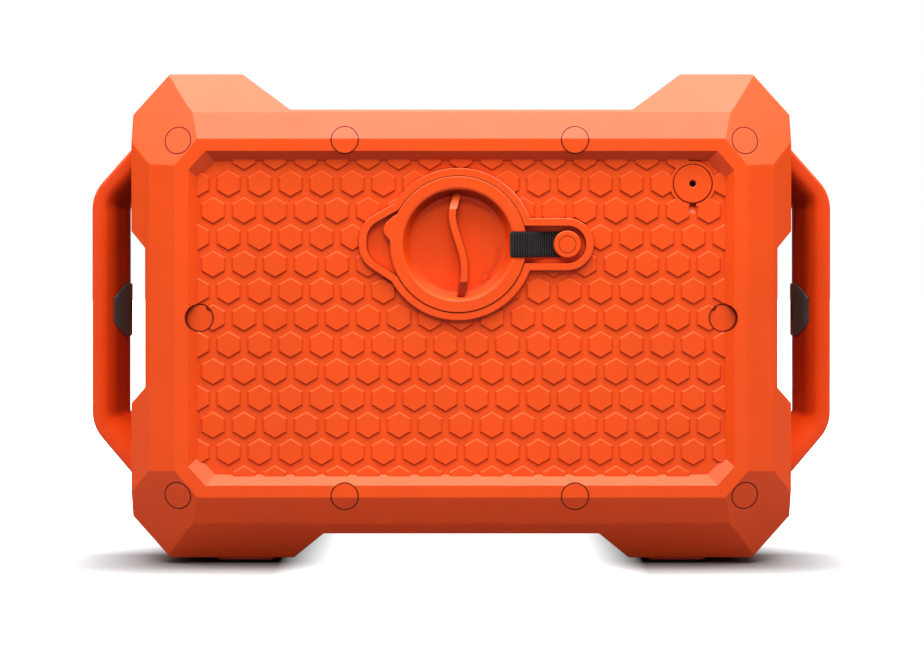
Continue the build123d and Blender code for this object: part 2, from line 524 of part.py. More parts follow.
save("woofer_surround", one(revolve_d(W_X, W_Z, eprof(half_roll(61.5, 70.0, 12.0, 4.0, 0.9, 3.2)))))
sp = [(19.1, 46.0)]
n = 0
for i in range(1, 9):
    sp.append((19.1 + i * 2.0, 46.0 + (0.9 if i % 2 else -0.5) - 0.2))
sp += [(37.0, 46.0), (42.0, 46.0)]
spb = [(r, e + 0.55) for r, e in sp][::-1]
save("woofer_spider", one(revolve_d(W_X, W_Z, eprof(sp + spb))))

# tweeter
horn = revolve_d(T_X, T_Z, eprof([(36.0, 14), (41, 14), (41, 18), (29.5, 18), (29.5, 36), (13.5, 36), (13.5, 31.0), (15.0, 27.0), (19.0, 22.0), (26.0, 17.5), (32.0, 15.2)]))
pframe = revolve_d(T_X, -T_Z, eprof([(35.2, 14), (41, 14), (41, 18), (35.2, 18)]))
for x, z in small:
    if z - (-T_Z) > 45 or z > 0:
        horn = horn - cyl(x, z, F - 20, F - 10, 1.4)
    if z < 5:
        pframe = pframe - cyl(x, z, F - 20, F - 10, 1.4)
save("tweeter_horn", one(horn))
save("tweeter_driver", one(revolve_d(T_X, T_Z, eprof([(0, 40), (12.0, 40), (12.0, 36), (24, 36), (25, 37), (25, 57), (24, 58), (0, 58)]))))
td = []
for i in range(9):
    a = radians(90 * i / 8)
    td.append((12.8 * sin(a), 33.4 - 4.4 * cos(a)))
td += [(12.8, 35.4), (12.4, 35.4)]
for i in range(8, -1, -1):
    a = radians(90 * i / 8)
    td.append((12.4 * sin(a), 33.6 - 4.2 * cos(a)))
save("tweeter_dome", one(revolve_d(T_X, T_Z, eprof(td))))
# passive radiator
save("passive_frame", one(pframe))
save("passive_plate", one(revolve_d(T_X, -T_Z, eprof([(0, 13.2), (10, 13.2), (25.5, 13.6), (26.3, 14.2), (26.3, 15.4), (12, 17.5), (12, 24), (0, 24)]))))
save("passive_surround", one(revolve_d(T_X, -T_Z, eprof([(26.4, 14.3), (28.0, 12.6), (30.8, 10.6), (33.4, 12.4), (34.6, 13.2), (36.4, 13.2), (36.4, 13.95), (34.4, 13.95), (33.0, 13.1), (30.8, 11.6), (28.4, 13.3), (27.0, 15.3), (26.4, 15.3)]))))
save("baffle", one(baffle))

# ---- top control panel -------------------------------------------------------------------------
TZ = RIM_Z + MID_TOP
def tbox(x0, x1, y0, y1, z0, z1):
    return Pos(x0, y0, z0) * Box(x1 - x0, y1 - y0, z1 - z0, align=(Align.MIN, Align.MIN, Align.MIN))


py0, py1 = PANEL_Y - PANEL_L / 2, PANEL_Y + PANEL_L / 2
plate_f = Pos(0, PANEL_Y) * RectangleRounded(PANEL_W, PANEL_L, 7.0)
main = main - Pos(0, 0, TZ - 2.0) * extrude(Pos(0, PANEL_Y) * RectangleRounded(PANEL_W + 0.3, PANEL_L + 0.3, 7.1), amount=6)
pcorner = [(sx * 74.8, PANEL_Y + sy * 36.8) for sx in (1, -1) for sy in (1, -1)]
for x, y in pcorner:
    main = main + Pos(x, y, TZ - 10.0) * Cylinder(3.6, 8.0, align=C3)
main = main - Pos(0, 0, TZ - 12) * extrude(Pos(0, PANEL_Y) * RectangleRounded(PANEL_W - 16, PANEL_L - 16, 4.0), amount=14)
plate = Pos(0, 0, TZ - 2.0) * extrude(plate_f, amount=2.0)
plate = try_fillet(plate, plate.faces().sort_by(Axis.Z)[-1].edges(), 0.4)
KEYS = {"key_power": (-60.0, -17.0), "key_light": (60.0, -17.0), "key_mode": (-62.0, -54.0), "key_prev": (-37.2, -54.0),
        "key_vol_down": (-12.4, -54.0), "key_play": (12.4, -54.0), "key_vol_up": (37.2, -54.0), "key_next": (62.0, -54.0)}
# the row is arranged so that play sits between the volume keys and the skip keys
KR = 7.5
for nm, (x, y) in KEYS.items():
    plate = plate - Pos(x, y, TZ - 3) * Cylinder(KR + 0.35, 4, align=C3)
    kb = Pos(x, y, TZ - 2.6) * Cylinder(KR, 4.8, align=C3)
    kb = try_fillet(kb, kb.faces().sort_by(Axis.Z)[-1].edges(), 0.9)
    kb = kb + Pos(x, y, TZ - 3.6) * Cylinder(KR + 1.1, 1.3, align=C3) + Pos(x, y, TZ - 6.4) * Cylinder(2.4, 3.0, align=C3)
    save(nm, one(kb))
lw = (70.0, 27.0, -17.0)
plate = plate - Pos(0, 0, TZ - 3) * extrude(Pos(0, lw[2]) * RectangleRounded(lw[0] - 3, lw[1] - 3, 2.0), amount=4)
plate = plate - Pos(0, 0, TZ - 1.0) * extrude(Pos(0, lw[2]) * RectangleRounded(lw[0] + 0.1, lw[1] + 0.1, 3.05), amount=4)
lcdw = Pos(0, 0, TZ - 1.0) * extrude(Pos(0, lw[2]) * RectangleRounded(lw[0], lw[1], 3.0), amount=0.9)
save("lcd_window", one(lcdw))
save("lcd_module", tbox(-32, 32, lw[2] - 11.5, lw[2] + 11.5, TZ - 8.0, TZ - 2.5))
posts = [(68.5, -36.0), (-68.5, -36.0), (24.8, -62.0), (-24.8, -62.0)]
cscrew = []
for x, y in pcorner:
    plate = plate - Pos(x, y, TZ - 3) * Cylinder(1.7, 4, align=C3) - Pos(x, y, TZ - 1.2) * Cylinder(2.9, 4, align=C3)
    main = main - Pos(x, y, TZ - 9.0) * Cylinder(1.28, 10, align=C3)
    cscrew.append(one(Pos(x, y, TZ - 1.2) * Cylinder(2.8, 1.1, align=C3) + Pos(x, y, TZ - 8.5) * Cylinder(1.25, 8.0, align=C3)
                      - Pos(x, y, TZ - 0.9) * extrude(RegularPolygon(1.25, 6), amount=1.2)))
for x, y in posts:
    plate = plate + Pos(x, y, TZ - 11.0) * Cylinder(2.6, 9.2, align=C3)
    plate = plate - Pos(x, y, TZ - 11.5) * Cylinder(1.03, 8.0, align=C3)
    cscrew.append(one(Pos(x, y, TZ - 12.6 - 1.4) * Cylinder(2.0, 1.4, align=C3) + Pos(x, y, TZ - 13.0) * Cylinder(1.0, 8.0, align=C3)))
save("control_panel", one(plate))
cb = tbox(-74.5, 74.5, -67.0, -4.0, TZ - 12.6, TZ - 11.0)
for x, y in posts:
    cb = cb - Pos(x, y, TZ - 13) * Cylinder(1.2, 3, align=C3)
save("control_board", one(cb), *[Pos(x, y, TZ - 11.0) * (Box(6, 6, 2.6, align=C3) + Pos(0, 0, 2.6) * Cylinder(1.6, 0.8, align=C3)) for x, y in KEYS.values()])

# ---- handles and openers --------------------------------------------------------------------------
def handle_parts(sx):
    pts = [(SIDE_X - 14.0, 122.4), (HANDLE_X, 71.0), (HANDLE_X, -66.0), (SIDE_X - 14.0, -119.4)]
    path2 = FilletPolyline(*[(x, z) for x, z in pts], radius=24.0)
    base = Plane(origin=(0, 0, RIM_Z), x_dir=(1, 0, 0), z_dir=(0, -1, 0))
    path = base * path2
    start, tan = path @ 0, path % 0
    # section: local x into the handle (towards the body), local y along Y
    inward = Vector(-tan.Z, 0, tan.X) if (Vector(-tan.Z, 0, tan.X).X < 0) else Vector(tan.Z, 0, -tan.X)
    pl = Plane(origin=start, x_dir=inward, z_dir=tan)
    sec = face([(0, -26), (7.2, -25.2), (13.3, -19.5), (18.8, -6), (18.8, 6), (13.3, 19.5), (7.2, 25.2), (0, 26)])
    for lo, hi, r in ((-0.1, 0.1, 1.7), (7.1, 7.3, 11.0), (13.2, 13.4, 15.0), (18.7, 18.9, 10.0)):
        sec = fillet([v for v in sec.vertices() if lo < v.X < hi and abs(v.Y) > 4.5], r)
    h = sweep(pl * sec, path=path)
    h = h - bxw(-400, SIDE_X, -200, 200, -400, 800)
    ins = face([(12.2, -21.3), (15.0, -17.6), (18.2, -10.2), (19.8, -6.3), (19.8, 6.3), (18.2, 10.2), (15.0, 17.6), (12.2, 21.3),
                (12.2, 14.5), (16.4, 6.0), (16.4, -6.0), (12.2, -14.5)])
    ipl = Plane(origin=(HANDLE_X, 0, RIM_Z + 2.3), x_dir=(-1, 0, 0), z_dir=(0, 0, -1))
    ins = extrude(ipl * ins, amount=16.0, both=True)
    # its ends run back towards the outside of the handle
    for s in (1, -1):
        c = Plane(origin=(HANDLE_X - 12.2, 0, RIM_Z + 2.3 + s * 7.5), z_dir=Vector(0.825, 0, 0.563 * s).normalized())
        ins = ins - c * Box(60, 60, 20, align=C3)
    pocket = ins
    ins = ins - Pos(HANDLE_X - 19.9, 0, RIM_Z + 2.3) * Box(2.6, 7.0, 13.0)
    ins = try_fillet(ins, [e for e in ins.edges() if e.center().X < HANDLE_X - 12.5 and
                           (abs(e.center().Y) > 5.5 or abs(e.center().Z - RIM_Z - 2.3) > 12)], 0.8)
    h = h - pocket
    bolts = []
    for z in (RIM_Z + 88.0, RIM_Z - 85.0):
        for y in (-8.0, 8.0):
            ax = Plane(origin=(SIDE_X - WALL - 3.0, y, z), x_dir=(0, 1, 0), z_dir=(1, 0, 0))
            h = h - ax * Cylinder(2.53, 3.0 + WALL + 10.0, align=C3)
            bolts.append(one(ax * Cylinder(4.2, 3.0, align=C3) + ax * Cylinder(2.5, 3.0 + WALL + 9.0, align=C3)))
    if sx < 0:
        m = Plane.YZ
        return mirror(h, m), mirror(ins, m), [mirror(b, m) for b in bolts]
    return h, ins, bolts


def bxw(x0, x1, y0, y1, z0, z1):
    return Pos(x0, y0, z0) * Box(x1 - x0, y1 - y0, z1 - z0, align=(Align.MIN, Align.MIN, Align.MIN))


allb = []
for sx, nm in ((1, "right"), (-1, "left")):
    h, ins, bolts = handle_parts(sx)
    save("handle_" + nm, one(h))
    save("bottle_opener_" + nm, one(ins))
    allb += bolts
    for z in (RIM_Z + 88.0, RIM_Z - 85.0):
        for y in (-8.0, 8.0):
            main = main - Plane(origin=(sx * (SIDE_X - 8.0), y, z), x_dir=(0, 1, 0), z_dir=(sx, 0, 0)) * Cylinder(2.6, 12.0, align=C3)
save("handle_bolts", *allb)

# ---- inside -----------------------------------------------------------------------------------------
board = bx(50, 130, 38.4, 40.0, -72, 62)
bscr = []
for x, z in BOARD_PTS:
    board = board - cyl(x, z, 38, 41, 1.5)
    bscr.append(one(cyl(x, z, 40.0, 41.8, 2.4) + cyl(x, z, 28.0, 40.5, 1.25)))
save("small_screws", *(pscrew + cscrew + bscr))
hs = bx(70, 112, 42.5, 46.0, -44, 14)
for i in range(7):
    x = 70 + i * 6.65
    hs = hs + bx(x, x + 2.1, 45.0, 62.0, -44, 14)
save("heat_sink", one(hs))
comp = [bx(72, 110, 40.0, 42.5, -38, 8), bx(92, 106, 40.0, 41.6, 28, 42), bx(58, 66, 40.0, 41.4, 10, 18), bx(116, 126, 40, 49, -56, -34)]
for x, z, r, h in ((62, -30, 5, 18), (62, -16, 5, 18), (62, -44, 5, 18), (78, 34, 6.5, 22), (122, 30, 4, 12), (122, 42, 4, 12)):
    comp.append(cyl(x, z, 40.0, 40.0 + h, r))
save("main_board", one(board), *comp)
fz = -MID_BOT + WALL
tray = bx(-70, 70, 96, 174, fz, fz + 2.5)
tray = tray + (bx(-70, 70, 96, 174, fz, fz + 14) - bx(-67.5, 67.5, 98.5, 171.5, fz - 1, fz + 15))
save("battery_tray", one(tray))
batt = bx(-67, 67, 99, 171, fz + 2.5, fz + 55)
batt = try_fillet(batt, batt.edges(), 2.0)
save("battery_pack", one(batt))


def wire(pts, r, rad):
    pp = [P(*p) for p in pts]
    path = FilletPolyline(*pp, radius=rad)
    st, tg = path @ 0, path % 0
    return sweep(Plane(origin=st, z_dir=tg) * Circle(r), path=path)


wires = [wire([(56, 40.05, -52), (56, 76.0, -52), (44.0, 120.0, -40), (44.0, 120.0, fz + 55.05)], 1.3, 8.0),
         wire([(CAP_X + 20, 47.65, CAP_Z - 20), (CAP_X + 20, 62.0, CAP_Z - 20), (56.0, 62.0, 2.0), (56.0, 40.05, 2.0)], 1.3, 5.0),
         wire([(120, 40.05, 10), (120, 75.0, 10), (T_X + 8, 118.0, T_Z), (T_X + 8, F - 58.05, T_Z)], 1.1, 12.0)]
save("wires", *wires)
# tiles last: those that meet a pocket are cut back to it first
near = [(CAP_X, CAP_Z, 75.0, [cut2]), (VENT_X, VENT_Z, 22.0, [cyl(VENT_X, VENT_Z, -1.0, 9.4, VENT_R + 0.4), vent_slot])
        ] + [(x, z, 18.0, [cyl(x, z, -2.0, 8.0, PLUG_R + PLUG_GAP)]) for x, z, kind in SCREWS]
fused = []
for x, z in tiles:
    t = Pos(x, 0, z) * tile_proto
    for cx, cz, r, cutters in near:
        if (x - cx) ** 2 + (z - cz) ** 2 < r * r:
            for c in cutters:
                t = t - c if len(t.solids()) else t
    fused += list(t.solids())
rear = rear + fused
save("rear_housing", one(rear))
save("main_housing", one(main))

os.makedirs("parts", exist_ok=True)
for name, sol in PARTS.items():
    export_step(sol[0] if len(sol) == 1 else Compound(children=sol), f"parts/{name}.step")
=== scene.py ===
import bpy, bmesh, math, json, random
from mathutils import Vector, Matrix


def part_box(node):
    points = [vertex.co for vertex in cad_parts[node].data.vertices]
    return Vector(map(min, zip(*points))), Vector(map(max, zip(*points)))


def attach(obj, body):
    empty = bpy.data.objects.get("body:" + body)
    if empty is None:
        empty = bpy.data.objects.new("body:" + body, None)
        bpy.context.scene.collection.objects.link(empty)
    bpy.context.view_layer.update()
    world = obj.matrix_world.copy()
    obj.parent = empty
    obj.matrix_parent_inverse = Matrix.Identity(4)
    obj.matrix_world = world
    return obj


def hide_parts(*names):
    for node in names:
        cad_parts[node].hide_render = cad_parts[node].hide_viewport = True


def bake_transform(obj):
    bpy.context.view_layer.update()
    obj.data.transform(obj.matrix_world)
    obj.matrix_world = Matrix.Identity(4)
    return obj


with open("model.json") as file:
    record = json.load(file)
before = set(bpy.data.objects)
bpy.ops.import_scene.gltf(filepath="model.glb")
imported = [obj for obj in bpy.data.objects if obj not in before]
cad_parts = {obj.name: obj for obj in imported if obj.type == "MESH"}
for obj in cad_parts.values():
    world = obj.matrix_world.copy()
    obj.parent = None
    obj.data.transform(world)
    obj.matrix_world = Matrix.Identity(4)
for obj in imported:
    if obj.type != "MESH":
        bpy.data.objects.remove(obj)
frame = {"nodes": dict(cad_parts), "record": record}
N = frame["nodes"]
sc = bpy.context.scene


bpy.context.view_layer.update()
random.seed(7)

# ---------------------------------------------------------------- camera
YB, ZC = 0.111, 0.140


def P(x, d, z):
    # millimetres: x, depth behind the back rim plane, height above the rim centre
    return Vector((x / 1000.0, YB - d / 1000.0, ZC + z / 1000.0))


cam_data = bpy.data.cameras.new("camera")
cam_data.sensor_width = 36.0
cam_data.lens = 2521.0 / 924.0 * 36.0
cam_data.shift_y = -72.0 / 924.0
cam_data.shift_x = 0.7 / 924.0
cam_data.clip_end = 50.0
cam = bpy.data.objects.new("camera", cam_data)
sc.collection.objects.link(cam)
cam.location = P(0.0, -1400.0, 36.2)
cam.rotation_euler = (math.radians(90), 0, math.radians(180))
sc.camera = cam
sc.view_settings.view_transform = "Standard"
sc.view_settings.look = "None"


# ---------------------------------------------------------------- node helpers
class Mat:
    def __init__(self, name):
        self.m = bpy.data.materials.new(name)
        self.m.use_nodes = True
        self.nt = self.m.node_tree
        self.nt.nodes.clear()
        self.out = self.nt.nodes.new("ShaderNodeOutputMaterial")
        self.b = self.nt.nodes.new("ShaderNodeBsdfPrincipled")
        self.nt.links.new(self.b.outputs[0], self.out.inputs[0])
        self.co = self.nt.nodes.new("ShaderNodeTexCoord").outputs["Object"]

    def node(self, kind, **kw):
        n = self.nt.nodes.new(kind)
        for k, v in kw.items():
            if hasattr(n, k):
                setattr(n, k, v)
            else:
                n.inputs[k.replace("_", " ")].default_value = v
        return n

    def link(self, a, b):
        self.nt.links.new(a, b)

    def noise(self, scale, detail=3.0, rough=0.5, dist=0.0, co=None):
        n = self.nt.nodes.new("ShaderNodeTexNoise")
        n.inputs["Scale"].default_value = scale
        n.inputs["Detail"].default_value = detail
        n.inputs["Roughness"].default_value = rough
        n.inputs["Distortion"].default_value = dist
        self.link(co or self.co, n.inputs["Vector"])
        return n.outputs["Fac"]

    def voronoi(self, scale, feature="F1", co=None):
        n = self.nt.nodes.new("ShaderNodeTexVoronoi")
        n.feature = feature
        n.inputs["Scale"].default_value = scale
        self.link(co or self.co, n.inputs["Vector"])
        return n.outputs["Distance"]

    def wave(self, scale, direction="X", dist=0.0, co=None, dscale=1.0):
        n = self.nt.nodes.new("ShaderNodeTexWave")
        n.bands_direction = direction
        n.inputs["Scale"].default_value = scale
        n.inputs["Distortion"].default_value = dist
        n.inputs["Detail Scale"].default_value = dscale
        self.link(co or self.co, n.inputs["Vector"])
        return n.outputs["Fac"]

    def mapr(self, src, a, b, c, d, clamp=True):
        n = self.nt.nodes.new("ShaderNodeMapRange")
        n.clamp = clamp
        for i, v in zip(("From Min", "From Max", "To Min", "To Max"), (a, b, c, d)):
            n.inputs[i].default_value = v
        self.link(src, n.inputs["Value"])
        return n.outputs["Result"]

    def math(self, op, a, b):
        n = self.nt.nodes.new("ShaderNodeMath")
        n.operation = op
        for i, v in enumerate((a, b)):
            if isinstance(v, (int, float)):
                n.inputs[i].default_value = v
            else:
                self.link(v, n.inputs[i])
        return n.outputs[0]

    def mix(self, fac, a, b):
        n = self.nt.nodes.new("ShaderNodeMix")
        n.data_type = "RGBA"
        for i, v in ((0, fac), (6, a), (7, b)):
            if isinstance(v, (int, float)):
                n.inputs[i].default_value = v
            elif isinstance(v, (tuple, list)):
                n.inputs[i].default_value = (*v[:3], 1.0)
            else:
                self.link(v, n.inputs[i])
        return n.outputs[2]

    def bump(self, height, strength, distance, prev=None):
        n = self.nt.nodes.new("ShaderNodeBump")
        n.inputs["Strength"].default_value = strength
        n.inputs["Distance"].default_value = distance
        self.link(height, n.inputs["Height"])
        if prev is not None:
            self.link(prev, n.inputs["Normal"])
        return n.outputs["Normal"]

    def edges(self, radius):
        # 0 on flat faces, towards 1 on convex or concave edges
        bev = self.nt.nodes.new("ShaderNodeBevel")
        bev.samples = 4
        bev.inputs["Radius"].default_value = radius
        geo = self.nt.nodes.new("ShaderNodeNewGeometry")
        d = self.nt.nodes.new("ShaderNodeVectorMath")
        d.operation = "DOT_PRODUCT"
        self.link(bev.outputs["Normal"], d.inputs[0])
        self.link(geo.outputs["Normal"], d.inputs[1])
        return self.mapr(d.outputs["Value"], 1.0, 0.86, 0.0, 1.0)

    def world(self):
        return self.nt.nodes.new("ShaderNodeNewGeometry")

    def ring_lines(self, centres, radius, half, soft):
        # 1 on thin circles about the (x, z) centres on the back, 0 elsewhere; millimetres
        pos = self.world().outputs["Position"]
        near = None
        for x, z in centres:
            c = P(x, 0.0, z)
            d = self.nt.nodes.new("ShaderNodeVectorMath")
            d.operation = "SUBTRACT"
            self.link(pos, d.inputs[0])
            d.inputs[1].default_value = c
            f = self.nt.nodes.new("ShaderNodeVectorMath")
            f.operation = "MULTIPLY"
            self.link(d.outputs[0], f.inputs[0])
            f.inputs[1].default_value = (1, 0, 1)
            ln = self.nt.nodes.new("ShaderNodeVectorMath")
            ln.operation = "LENGTH"
            self.link(f.outputs[0], ln.inputs[0])
            a = self.math("ABSOLUTE", self.math("SUBTRACT", ln.outputs["Value"], radius / 1000.0), 0.0)
            near = a if near is None else self.math("MINIMUM", near, a)
        line = self.mapr(near, half / 1000.0, (half + soft) / 1000.0, 1.0, 0.0)
        xyz = self.nt.nodes.new("ShaderNodeSeparateXYZ")
        self.link(pos, xyz.inputs[0])
        return self.math("MULTIPLY", line, self.mapr(xyz.outputs["Y"], 0.060, 0.062, 0.0, 1.0))

    def set(self, **kw):
        for k, v in kw.items():
            inp = self.b.inputs[k.replace("_", " ")]
            if isinstance(v, (int, float)):
                inp.default_value = v
            elif isinstance(v, (tuple, list)):
                inp.default_value = (*v[:3], 1.0)
            else:
                self.link(v, inp)
        return self


def srgb(r, g, b):
    def f(c):
        c /= 255.0
        return c / 12.92 if c <= 0.04045 else ((c + 0.055) / 1.055) ** 2.4
    return (f(r), f(g), f(b))


def moulded(name, colour, rough=0.42, grain=2200.0, grain_h=0.00003, edge_wear_and_sheen=0.12, spread=0.06, spec=0.5, crevice_shade=None, reach=0.0016, rings=None, inner=None, recess=False):
    """Moulded plastic: fine spark-eroded grain, slow colour drift, and edges lighter in patches, partly wear and partly
    a painted highlight.
    """
    m = Mat(name)
    dark = tuple(c * (1 - spread) for c in colour)
    light = tuple(min(1.0, c * (1 + spread) + 0.001) for c in colour)
    drift = m.noise(14.0, 4.0, 0.6)
    base = m.mix(m.mapr(drift, 0.3, 0.7, 0, 1), dark, light)
    speck = m.mapr(m.noise(grain * 0.35, 2.0, 0.6), 0.25, 0.75, 0.0, 1.0)
    base = m.mix(m.math("MULTIPLY", speck, 0.10), base, tuple(c * 0.86 for c in colour))
    if edge_wear_and_sheen:
        # edges lighter in patches: partly wear, partly a painted highlight along the edges
        e = m.math("MULTIPLY", m.edges(0.0007), m.mapr(m.noise(60.0, 3.0), 0.35, 0.65, 0.3, 1.0))
        pale = tuple(min(1.0, c * 1.12 + 0.03) for c in colour)
        base = m.mix(m.math("MULTIPLY", e, edge_wear_and_sheen), base, pale)
    if crevice_shade:
        # painted shade: darker where surfaces meet, from ambient occlusion
        ao = m.nt.nodes.new("ShaderNodeAmbientOcclusion")
        ao.samples = 4
        ao.inputs["Distance"].default_value = reach
        base = m.mix(m.mapr(ao.outputs["AO"], 0.30, 0.90, 1.0, 0.0), base, crevice_shade)
    if recess:
        # painted light and shade: in the back recess and the cap's well, darker faces turned down; in the recess,
        # lighter faces turned up
        geo = m.world()
        n3, p3 = m.nt.nodes.new("ShaderNodeSeparateXYZ"), m.nt.nodes.new("ShaderNodeSeparateXYZ")
        m.link(geo.outputs["Normal"], n3.inputs[0])
        m.link(geo.outputs["Position"], p3.inputs[0])
        up = n3.outputs["Z"]
        down = m.math("MULTIPLY", up, -1.0)
        inside = m.math("MULTIPLY", m.mapr(m.math("ABSOLUTE", p3.outputs["X"], 0.0), 0.150, 0.152, 1.0, 0.0),
                        m.mapr(m.math("ABSOLUTE", m.math("SUBTRACT", p3.outputs["Z"], ZC), 0.0), 0.0925, 0.0935, 1.0, 0.0))
        inside = m.math("MULTIPLY", inside, m.mapr(p3.outputs["Y"], 0.085, 0.090, 0.0, 1.0))
        dx = m.math("SUBTRACT", p3.outputs["X"], 0.0017)
        dz = m.math("SUBTRACT", p3.outputs["Z"], ZC + 0.041)
        rad = m.math("SQRT", m.math("ADD", m.math("MULTIPLY", dx, dx), m.math("MULTIPLY", dz, dz)), 0.0)
        well = m.mapr(rad, 0.0303, 0.0309, 1.0, 0.0)
        # painted shade on the faces turned down
        underside_shade = m.math("MULTIPLY", m.mapr(down, 0.22, 0.75, 0.0, 1.0), m.math("ADD", m.math("MULTIPLY", inside, 0.48), m.math("MULTIPLY", well, 0.34)))
        base = m.mix(underside_shade, base, (0.14, 0.006, 0.002))
        # painted light on the faces turned up
        upface_light = m.math("MULTIPLY", m.mapr(up, 0.25, 0.75, 0.0, 1.0), inside)
        base = m.mix(m.math("MULTIPLY", upface_light, 0.30), base, (1.0, 0.20, 0.06))
    if rings:
        # painted shade: a dark line in the joint round each plug, where shade falls in the gap
        base = m.mix(m.math("MULTIPLY", m.ring_lines(rings, 7.58, 0.22, 0.35), 0.8), base, (0.12, 0.007, 0.002))
    if inner:
        # painted shade: darker on the faces turned to the body
        geo = m.world()
        n3, p3 = m.nt.nodes.new("ShaderNodeSeparateXYZ"), m.nt.nodes.new("ShaderNodeSeparateXYZ")
        m.link(geo.outputs["Normal"], n3.inputs[0])
        m.link(geo.outputs["Position"], p3.inputs[0])
        side = m.math("SIGN", p3.outputs["X"], 0.0)
        turned = m.math("MULTIPLY", m.math("MULTIPLY", n3.outputs["X"], side), -1.0)
        turned = m.math("SUBTRACT", turned, n3.outputs["Z"])
        base = m.mix(m.math("MULTIPLY", m.mapr(turned, 0.45, 1.05, 0.0, 1.0), 0.80), base, inner)
    g1 = m.noise(grain, 2.0, 0.55)
    g2 = m.voronoi(grain * 0.6)
    h = m.math("ADD", g1, m.math("MULTIPLY", g2, 0.6))
    nrm = m.bump(h, 0.55, grain_h)
    nrm = m.bump(m.noise(35.0, 2.0), 0.25, 0.0001, nrm)
    r = m.mapr(m.noise(45.0, 4.0, 0.6), 0.3, 0.7, rough - 0.04, rough + 0.05)
    m.set(Base_Color=base, Roughness=r, Normal=nrm)
    m.b.inputs["Specular IOR Level"].default_value = spec
    return m.m


ORANGE = (0.85, 0.079, 0.003)
PLUGS = [(158.1, 99.0), (158.1, -99.0), (-158.1, 99.0), (-158.1, -99.0), (64.8, 99.1), (64.8, -99.1), (-63.2, 99.1), (-63.2, -99.1), (145.8, 0.0), (-145.8, 0.0)]
orange = moulded("orange_plastic", ORANGE, rough=0.43, crevice_shade=(0.26, 0.010, 0.002), rings=PLUGS, recess=True)
orange_h = moulded("orange_handle", (0.80, 0.070, 0.004), rough=0.42, crevice_shade=(0.25, 0.010, 0.002), inner=(0.085, 0.004, 0.002))
black_p = moulded("black_plastic", (0.012, 0.012, 0.013), rough=0.5, grain=1600, grain_h=0.00004, edge_wear_and_sheen=0.25)
gloss_b = moulded("gloss_black", (0.008, 0.008, 0.009), rough=0.18, grain=900, grain_h=0.000004, edge_wear_and_sheen=0.1)


def rubber(name, colour=(0.014, 0.014, 0.015), rough=0.72):
    m = Mat(name)
    base = m.mix(m.mapr(m.noise(90.0, 4.0), 0.3, 0.7, 0, 1), tuple(c * 0.75 for c in colour), tuple(c * 1.5 for c in colour))
    dust = m.mapr(m.noise(420.0, 5.0, 0.7), 0.62, 0.8, 0.0, 0.25)
    base = m.mix(dust, base, (0.07, 0.066, 0.06))
    nrm = m.bump(m.noise(1800.0, 3.0), 0.5, 0.00003)
    m.set(Base_Color=base, Roughness=m.mapr(m.noise(120.0), 0.3, 0.7, rough - 0.08, rough + 0.08), Normal=nrm)
    m.b.inputs["Specular IOR Level"].default_value = 0.35
    return m.m


rub = rubber("black_rubber")
key_rub = rubber("key_rubber", (0.03, 0.03, 0.031), 0.6)


def metal(name, colour, rough, brush=0.0, direction="X", grain=900.0, wear_col=None, metallic=1.0):
    m = Mat(name)
    vec = m.nt.nodes.new("ShaderNodeMapping")
    vec.inputs["Scale"].default_value = (1, 1, 1) if not brush else {"X": (0.04, 1, 1), "Y": (1, 0.04, 1), "Z": (1, 1, 0.04)}[direction]
    m.link(m.co, vec.inputs["Vector"])
    streak = m.noise(grain, 4.0, 0.65, co=vec.outputs[0])
    base = m.mix(m.mapr(streak, 0.3, 0.7, 0, 1), tuple(c * 0.82 for c in colour), colour)
    blot = m.mapr(m.noise(55.0, 5.0, 0.65), 0.45, 0.75, 0.0, 0.35)
    base = m.mix(blot, base, tuple(c * 0.7 for c in colour))
    if wear_col:
        e = m.math("MULTIPLY", m.edges(0.0005), m.mapr(m.noise(300.0, 4.0, 0.7), 0.4, 0.62, 0.0, 1.0))
        base = m.mix(e, base, wear_col)
    nrm = m.bump(streak, 0.35, 0.00002)
    m.set(Base_Color=base, Roughness=m.mapr(streak, 0.25, 0.75, rough - 0.06, rough + 0.1), Normal=nrm, Metallic=metallic)
    return m.m


zinc = metal("zinc_steel", (0.62, 0.61, 0.58), 0.32, 1, "Z")
# the base is tinted blue-green to cancel the orange light bounced onto it, a painted correction for that light; the
# metal itself is grey
dark_metal = metal("dark_metal", (0.058, 0.122, 0.120), 0.46, 1, "Z", 1400.0, wear_col=(0.30, 0.29, 0.26), metallic=0.25)
alu = metal("aluminium", (0.72, 0.73, 0.74), 0.35, 1, "Y")
nickel = metal("nickel", (0.72, 0.70, 0.64), 0.2, 1, "Z", 1800.0)
ferrite = metal("ferrite", (0.06, 0.06, 0.062), 0.6, 0, metallic=0.3)
copper = metal("copper", (0.72, 0.33, 0.16), 0.3, 1, "X", 3000.0)


def coat(name, colour, rough=0.5, scale=1500.0):
    """Powder coat with its orange-peel skin."""
    m = Mat(name)
    base = m.mix(m.mapr(m.noise(120.0, 4.0), 0.3, 0.7, 0, 1), tuple(c * 0.8 for c in colour), tuple(c * 1.25 for c in colour))
    chip = m.math("MULTIPLY", m.edges(0.0004), m.mapr(m.noise(500.0, 4.0, 0.7), 0.5, 0.62, 0.0, 0.6))
    base = m.mix(chip, base, (0.16, 0.16, 0.165))
    nrm = m.bump(m.noise(scale, 2.0, 0.5), 0.6, 0.00004)
    m.set(Base_Color=base, Roughness=m.mapr(m.noise(260.0), 0.3, 0.7, rough - 0.06, rough + 0.08), Normal=nrm, Metallic=0.0)
    m.b.inputs["Coat Weight"].default_value = 0.15
    m.b.inputs["Coat Roughness"].default_value = 0.35
    return m.m


grille_m = coat("grille_coat", (0.026, 0.026, 0.027), 0.45)
black_steel = metal("black_steel", (0.035, 0.034, 0.033), 0.38, 1, "Z", 1400.0, wear_col=(0.2, 0.19, 0.18), metallic=0.8)


